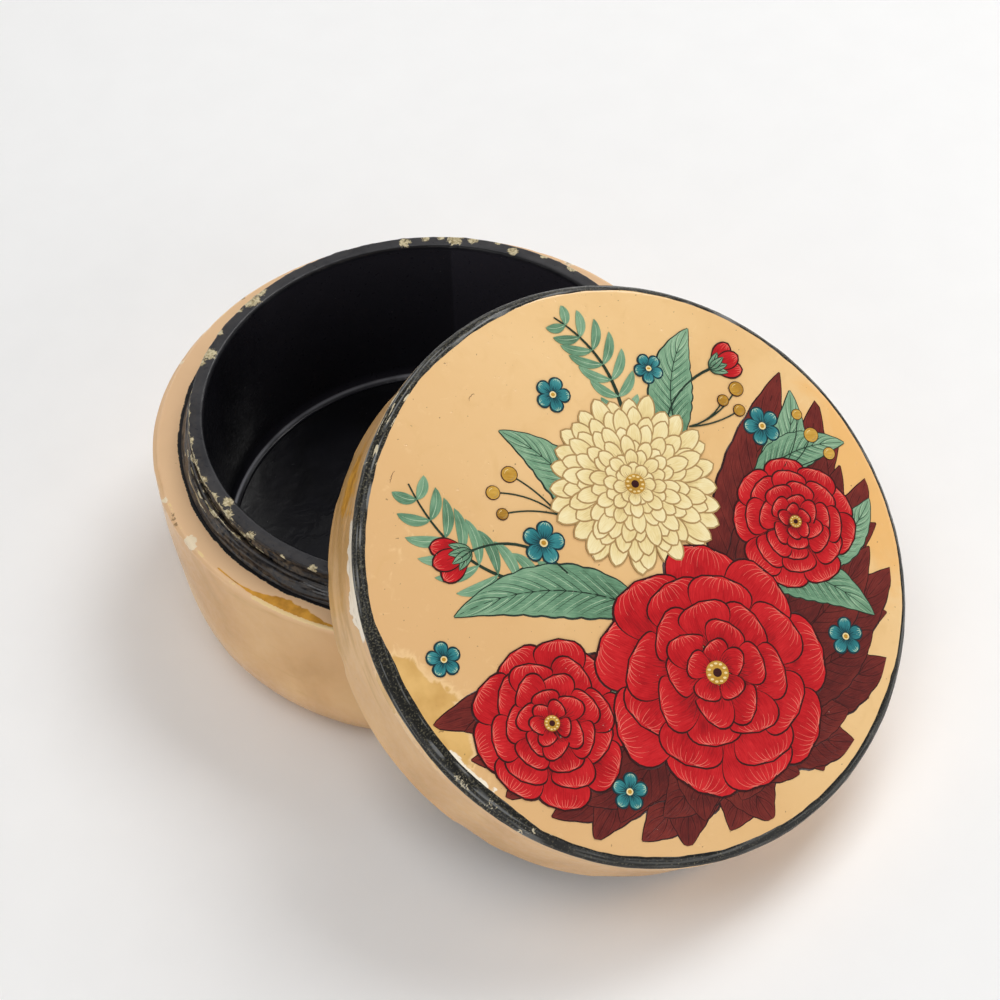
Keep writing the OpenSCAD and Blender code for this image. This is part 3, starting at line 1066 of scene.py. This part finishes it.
class Strokes:
    """The brush strokes of one pigment, laid on the lid's face as one mesh of thin closed solids."""

    def __init__(self, name, material):
        self.name, self.material = name, material
        self.points, self.faces, self.tone, self.uv = [], [], [], []
        self.count = 0

    def add(self, path, half, lift, tone=0.0, fan=0.0):
        """A stroke along a path of (s, t) points with a half width at each, lift mm over the face.

        Its sides are sunk in the ground. tone is its lightness, one number or one for each path
        point, and fan adds lightness towards its two sides.
        """
        path, half = np.asarray(path, float), np.maximum(np.asarray(half, float), 0.015)
        place = WIDE if half.max() > 0.32 else NARROW
        side = right_of(headings(path))
        over = path[:, None] + side[:, None] * (place[None, :, None] * half[:, None, None])
        far = np.hypot(over[..., 0], over[..., 1])
        over *= np.where(far > PAINT_R, PAINT_R / np.maximum(far, 1e-9), 1)[..., None]
        c, s = math.cos(FACE_TURN), math.sin(FACE_TURN)
        x, y = over[..., 0] * c - over[..., 1] * s, over[..., 0] * s + over[..., 1] * c
        z = face_height(x, y) + np.where(np.abs(place) < 1, lift + 0.004, -0.05)
        n, k = x.shape
        grid = self.count + np.arange(n * k).reshape(n, k)
        after = np.roll(grid, -1, 1)
        self.faces += np.stack([grid[:-1], grid[1:], after[1:], after[:-1]], -1).reshape(-1, 4).tolist()
        self.faces += [grid[0].tolist(), grid[-1][::-1].tolist()]
        self.points.append(np.stack([x, y, z], -1).reshape(-1, 3))
        run = np.r_[0, np.cumsum(np.hypot(*np.diff(path, axis=0).T))]
        across = place * half[:, None] + 3.7 * len(self.uv)
        self.uv.append(np.stack(np.broadcast_arrays(across, run[:, None]), -1).reshape(-1, 2))
        tones = np.broadcast_to(np.asarray(tone, float).reshape(-1, 1), (n, k)) + fan * place**2
        self.tone.append(tones.ravel())
        self.count += n * k

    def build(self):
        piece = new_piece(self.name, np.vstack(self.points), self.faces, self.material,
                          {"tone": np.concatenate(self.tone)}, np.vstack(self.uv), LID_PLACE)
        piece.data.set_sharp_from_angle(angle=math.radians(8))
        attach(piece, "lid")


class Blade:
    """A leaf or petal shape, on which lines can be drawn that follow it.

    fullest is the share of its length where it is widest, and a low blunt rounds its ends.
    """

    def __init__(self, base, tip, width, sag, fullest, blunt, steps=18):
        self.spine = curve(base, tip, sag, steps)
        self.t = np.linspace(0, 1, steps)
        bent = self.t ** (math.log(0.5) / math.log(fullest))
        self.half = width * np.maximum(np.sin(math.pi * bent), 0) ** blunt
        self.side = right_of(headings(self.spine))

    def line(self, u_start, u_end, t_start, t_end, steps=7):
        """A path between two places given by share of width u and share of length t."""
        t, u = np.linspace(t_start, t_end, steps), np.linspace(u_start, u_end, steps)
        parts = [np.interp(t, self.t, column) for column in (*self.spine.T, self.half, *self.side.T)]
        x, y, half, side_x, side_y = parts
        return np.c_[x + side_x * u * half, y + side_y * u * half]


class Bouquet:
    """Places flowers and leaves, each a little above what is painted already."""

    def __init__(self, pots, seed):
        self.pots, self.rng, self.lift = pots, np.random.default_rng(seed), 0.0

    def up(self, coats=1):
        self.lift += PAINT_T * coats
        return self.lift

    def some(self, spread):
        return self.rng.uniform(-spread, spread)

    def hairline(self, pot, path, half, tone=0.0):
        taper = 1 - 0.7 * np.linspace(0, 1, len(path))
        self.pots[pot].add(path, half * taper, self.lift + PAINT_T * 0.7, tone)

    def dot(self, pot, centre, radius, tone=0.0):
        steps = 13
        t = np.cos(np.linspace(math.pi, 0, steps))
        path = np.asarray(centre, float) + np.c_[t * radius, np.zeros(steps)]
        self.pots[pot].add(path, radius * np.sqrt(np.maximum(1 - t * t, 0)), self.up(2), tone)

    def stem(self, path, half):
        self.pots["leaf_dark"].add(path, np.full(len(path), half), self.up(2))

    def petal(self, pots, base, tip, width, sag, fullest, blunt, lines):
        """A petal with a dark rim under it, shade lines from its base and light lines from its tip."""
        body, rim, shade, light = pots
        blade = Blade(base, tip, width, sag, fullest, blunt)
        way = towards(blade.spine[0], blade.spine[-1])
        wider = Blade(base, np.asarray(tip) + way * 0.28, width + 0.26, sag, fullest, blunt)
        self.pots[rim].add(wider.spine, wider.half, self.up(2))
        tones = np.interp(blade.t, [0, 0.35, 0.8, 1], [-0.26, -0.10, 0.06, 0.14]) + self.some(0.04)
        self.pots[body].add(blade.spine, blade.half, self.up(), tones, 0.05)
        for i in range(lines):
            u = (i + 0.5 + self.some(0.25)) / lines * 1.84 - 0.92
            end = self.rng.uniform(0.42, 0.66) - 0.12 * abs(u)
            self.hairline(shade, blade.line(u * 0.6, u, 0.06, end), 0.15, self.some(0.1))
            if light:
                path = blade.line(u * 0.94, u * 0.9, 0.965, self.rng.uniform(0.72, 0.84))
                self.hairline(light, path, 0.10, self.some(0.1))

    def whorl(self, pots, centre, radius, heading, ring, uneven, shape, lines):
        """One ring of petals, every other one over its neighbours.

        ring is their count and, as shares of the radius, their outer end, inner end and half width.
        uneven is how far their spacing, length, direction and sag vary.
        """
        count, outer, inner, wide = ring
        spacing, reach, turning, sag = uneven
        for i in (*range(0, count, 2), *range(1, count, 2)):
            a = heading + (i + self.some(spacing)) * 360 / count
            tip = polar(centre, radius * outer * (1 + self.some(reach)), a + self.some(turning))
            base = polar(centre, radius * inner, a)
            self.petal(pots, base, tip, radius * wide, self.some(sag) * radius, *shape, lines)

    def rose(self, centre, radius, turn):
        """A full crimson rose: rings of broad petals that close on an ochre heart."""
        rings = ((9, 1.0, 0.34, 0.34), (8, 0.79, 0.26, 0.29), (7, 0.59, 0.17, 0.24),
                 (6, 0.41, 0.09, 0.18), (5, 0.25, 0.02, 0.12))
        uneven = (0.12, 0.05, 5, 0.05)
        for i, ring in enumerate(rings):
            self.whorl(RED_PETAL, centre, radius, turn + i * 21, ring, uneven, (0.70, 0.46), 11 - i)
        self.heart(centre, radius * 0.10)

    def aster(self, centre, radius, turn):
        """A cream flower of many narrow petals, each combed with fine brown lines."""
        rings = ((30, 1.0, 0.42), (28, 0.84, 0.34), (25, 0.68, 0.26), (21, 0.52, 0.18),
                 (16, 0.37, 0.11), (11, 0.24, 0.05))
        uneven = (0.15, 0.06, 4, 0.02)
        for i, (count, outer, inner) in enumerate(rings):
            ring = (count, outer, inner, outer * 3.1 / count)
            self.whorl(CREAM_PETAL, centre, radius, turn + i * 5, ring, uneven, (0.66, 0.6), 4)
        self.heart(centre, radius * 0.12)

    def heart(self, centre, radius):
        self.up(3)
        self.dot("ochre", centre, radius)
        for i in range(11):
            self.dot("cream", polar(centre, radius * 0.74, i * 360 / 11), radius * 0.15)
        self.dot("maroon_deep", centre, radius * 0.38)

    def blossom(self, centre, radius, turn):
        """A small teal blossom of five round petals."""
        for a in range(turn, turn + 360, 72):
            base, tip = polar(centre, radius * 0.10, a), polar(centre, radius, a)
            self.petal(TEAL_PETAL, base, tip, radius * 0.36, 0, 0.62, 0.5, 4)
        self.dot("cream", centre, radius * 0.20)
        self.dot("ochre", centre, radius * 0.12)

    def bud(self, stem, radius):
        """A crimson bud in a green cup, at the end of a stem."""
        self.stem(stem, 0.26)
        end, way = stem[-1], towards(stem[-2], stem[-1])
        lean = math.degrees(math.atan2(way[1], way[0]))
        for turn in (-26, 26, 0):
            self.petal(RED_PETAL, end, polar(end, radius * 2.1, lean + turn), radius * 0.55, 0, 0.62, 0.55, 5)
        for turn in (-38, 38, -12, 14):
            self.leaf(end - way * 0.3, polar(end, radius * 1.15, lean + turn), radius * 0.22, 0, veins=2)

    def leaf(self, base, tip, width, sag, pots=GREEN_LEAF, veins=9):
        """A toothed leaf with a dark midrib and a fan of dark and light veins."""
        body, dark, pale = pots
        blade = Blade(base, tip, width, sag, 0.42, 0.85, 40)
        teeth = 1 + 0.07 * np.abs(np.sin(blade.t * veins * math.pi))
        self.pots[dark].add(blade.spine, (blade.half + 0.16) * teeth, self.up(2), -0.1)
        tones = np.interp(blade.t, [0, 0.5, 1], [-0.16, 0.0, 0.08]) + self.some(0.06)
        self.pots[body].add(blade.spine, blade.half * teeth, self.up(), tones, 0.07)
        self.hairline(dark, blade.line(0, 0, 0.02, 0.97, 14), 0.24)
        for i in range(veins):
            t = 0.08 + 0.76 * i / veins
            for turn in (-1, 1):
                self.hairline(dark, blade.line(0, turn * 0.88, t, min(t + 0.17, 0.95)), 0.12)
                beside = blade.line(turn * 0.12, turn * 0.80, t + 0.05, min(t + 0.19, 0.95))
                self.hairline(pale, beside, 0.08)

    def spray(self, path, count, length, width):
        """A stem with pairs of slim leaflets that shorten towards its tip."""
        body, dark, pale = GREEN_LEAF
        self.pots[dark].add(path, np.linspace(0.38, 0.12, len(path)), self.up(2))
        for i in range(count):
            share = (i + 0.7) / (count + 0.4)
            k = share * (len(path) - 1)
            j = min(int(k), len(path) - 2)
            at = path[j] + (path[j + 1] - path[j]) * (k - j)
            way = towards(path[j], path[j + 1])
            size = length * (0.35 + 0.8 * math.sin(math.pi * (0.15 + 0.8 * share)))
            for turn in (-1, 1):
                tip = at + way * size * 0.7 + right_of(way) * turn * size * 0.72
                blade = Blade(at, tip, width, turn * size * 0.10, 0.5, 0.7, 12)
                self.pots[body].add(blade.spine, blade.half, self.up(2), self.some(0.12), 0.06)
                self.hairline(pale, blade.line(0, 0, 0.1, 0.85), 0.09)

    def berries(self, start, ends):
        """Golden berries, each on a thin stalk from the same place, given by s, t and radius."""
        shade_and_glint = (("comb", 0.7, -80, 10, 0.13), ("cream", 0.62, 100, 175, 0.10))
        for s, t, radius in ends:
            self.stem(curve(start, (s, t), 0.8 + self.some(0.6), 10), 0.15)
        for s, t, radius in ends:
            self.dot("maroon_deep", (s, t), radius + 0.13)
            self.dot("ochre", (s, t), radius, self.some(0.1))
            for pot, share, first, last, half in shade_and_glint:
                line = [polar((s, t), radius * share, a) for a in np.linspace(first, last, 7)]
                self.hairline(pot, line, half)

    def crack(self, start, end):
        """A hairline crack in the lacquer."""
        path = curve(start, end, self.some(0.3), 14)
        path = path + np.c_[[self.some(0.12) for _ in path], [self.some(0.12) for _ in path]]
        self.pots["crack"].add(path, 0.02 + 0.04 * np.sin(np.linspace(0, 3, 14)), 0.0)


# Where things stand in the bouquet, by s and t
BIG_ROSE, LEFT_ROSE, RIGHT_ROSE, ASTER = (12, -18), (-18, -27), (29, 9), (-1, 14)
LEAVES = [  # base, tip, half width and sag
    ((0, -8), (-34, -10), 4.4, 4), ((-2, -16), (-25, -38), 4.0, -3), ((-8, 4), (-25, 22), 3.8, 3),
    ((18, 0), (43, -7), 4.4, -3), ((20, 10), (30, 33), 4.2, 3), ((8, 22), (11, 43), 4.0, -2.5),
    ((30, 2), (44, 14), 3.6, 2), ((22, 16), (40, 24), 3.4, -2),
]
BLOSSOMS = [  # centre, radius and turn
    ((-18, 3), 3.6, 10), ((24, 26), 3.4, 40), ((-15, 29), 3.0, 0), ((-36, -17), 2.8, 30),
    ((37, -11), 3.2, 20), ((-5, -38), 3.0, 12), ((3, 35), 2.6, 50),
]
BERRIES = [  # where the stalks start, then each berry's place and radius
    ((-15, 8), ((-23.5, 14.5, 1.35), (-26.5, 11.2, 1.15), (-25, 7.6, 0.95))),
    ((10, 25), ((19.5, 32.5, 1.3), (16.8, 30.2, 1.0), (19.8, 28.6, 1.05))),
    ((27, 18), ((33.5, 25, 1.35), (36.8, 21.8, 1.1), (31, 28.6, 0.95))),
]
CRACKS = [  # start and end of hairline cracks in the lacquer
    ((-37.4, -28.8), (-34.6, -28.0)), ((-44, 12), (-43.2, 14)), ((-30, 27), (-28.9, 28.2)),
    ((-38, 2), (-37.2, 2.5)),
]


def paint_maroon_leaves(b):
    """Two rows of dark leaves that fan out from under the big rose."""
    for row, (spread, width) in enumerate(((47.5, 6.4), (43.5, 6.0))):
        for i, heading in enumerate(range(-142 + 5 * row, 52, 10)):
            tip = polar((0, 0), spread - 1.5 * (i % 2), heading + (4 if heading > -60 else -2))
            b.leaf(polar(BIG_ROSE, 6, heading), tip, width, 2.2 * (-1) ** i, MAROON_LEAF, 10)


def paint_bouquet():
    pots = {name: Strokes("paint_" + name, pigment("pigment_" + name, *tones))
            for name, tones in PIGMENTS.items()}
    b = Bouquet(pots, 7)
    paint_maroon_leaves(b)
    b.spray(curve((-12, -4), (-41, 12), -6, 22), 9, 7.0, 1.0)
    b.spray(curve((-2, 24), (-14, 43), 3, 18), 7, 5.5, 0.9)
    for leaf in LEAVES:
        b.leaf(*leaf)
    b.bud(curve((-14, -2), (-31, 1), 3, 12), 3.2)
    b.bud(curve((5, 20), (15, 36), -3, 14), 2.8)
    on_leaves = b.lift
    apart = [(b.blossom, blossom) for blossom in BLOSSOMS] + [(b.berries, sprig) for sprig in BERRIES]
    for paint, where in (*apart, (b.rose, (LEFT_ROSE, 13.5, 40)), (b.rose, (RIGHT_ROSE, 11.5, 25))):
        b.lift = on_leaves
        paint(*where)
    b.rose(BIG_ROSE, 21, 10)
    b.lift = on_leaves + 80 * PAINT_T
    b.aster(ASTER, 15.5, 4)
    for crack in CRACKS:
        b.crack(*crack)
    for pot in pots.values():
        pot.build()


# ---------------------------------------------------------------- the whole box

def main():
    make_camera()
    make_studio()
    make_shell(tan_lacquer("shell_lacquer"))
    make_floor_disc(well_lacquer("well_lacquer"))
    make_neck(black_lacquer("neck_lacquer", coat=0.14))
    make_strip(black_lacquer("strip_lacquer", coat=0.6))
    lid_black = well_lacquer("lid_inside_lacquer", on_lid=True)
    make_lid_wall(tan_lacquer("lid_wall_lacquer", BARE_GESSO, on_lid=True), lid_black)
    make_lid_top(face_ground(), lid_black)
    make_band(band_paint())
    paint_bouquet()


main()
